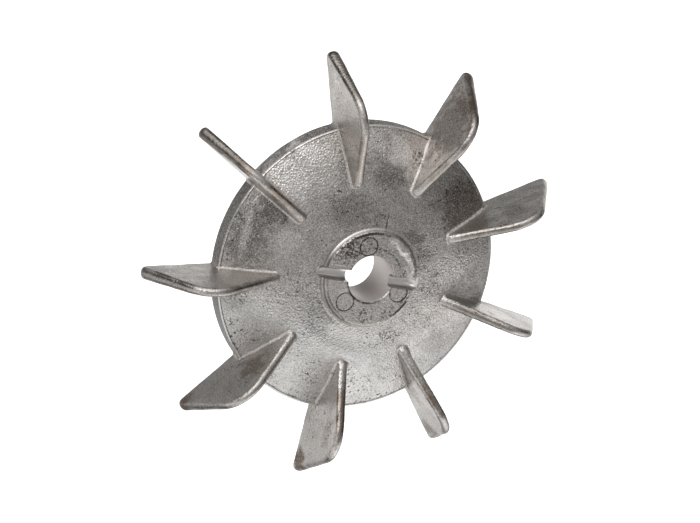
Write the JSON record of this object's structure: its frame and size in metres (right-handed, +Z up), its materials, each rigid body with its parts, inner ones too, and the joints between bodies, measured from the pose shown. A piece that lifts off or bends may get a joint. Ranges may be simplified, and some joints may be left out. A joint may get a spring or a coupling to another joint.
{
  "type": "blower motor wheel",
  "caption": "Die-cast aluminium blower wheel: domed plate with a turned-back rim, bored hub with a cross-pin slot, and flat radial blades running past the rim.",
  "frame": {"origin": "on the bore axis, in the plane of the rim's back edge", "axes": "Y is the bore axis and the bladed front faces -Y; X runs along the cross-pin slot; +Z is up, opposite the blade that is square to the slot"},
  "size_m": [0.1464, 0.0262, 0.1441],
  "materials": {
    "cast_aluminium": "as-cast, dull and mottled",
    "hub_aluminium": "as-cast boss with a smooth reamed bore"
  },
  "bodies": {
    "root": {"hub_boss": "hub_aluminium", "domed_plate": "cast_aluminium", "blade_1": "cast_aluminium", "blade_2": "cast_aluminium", "blade_3": "cast_aluminium", "blade_4": "cast_aluminium", "blade_5": "cast_aluminium", "blade_6": "cast_aluminium", "blade_7": "cast_aluminium", "blade_8": "cast_aluminium", "blade_9": "cast_aluminium"}
  },
  "joints": []
}
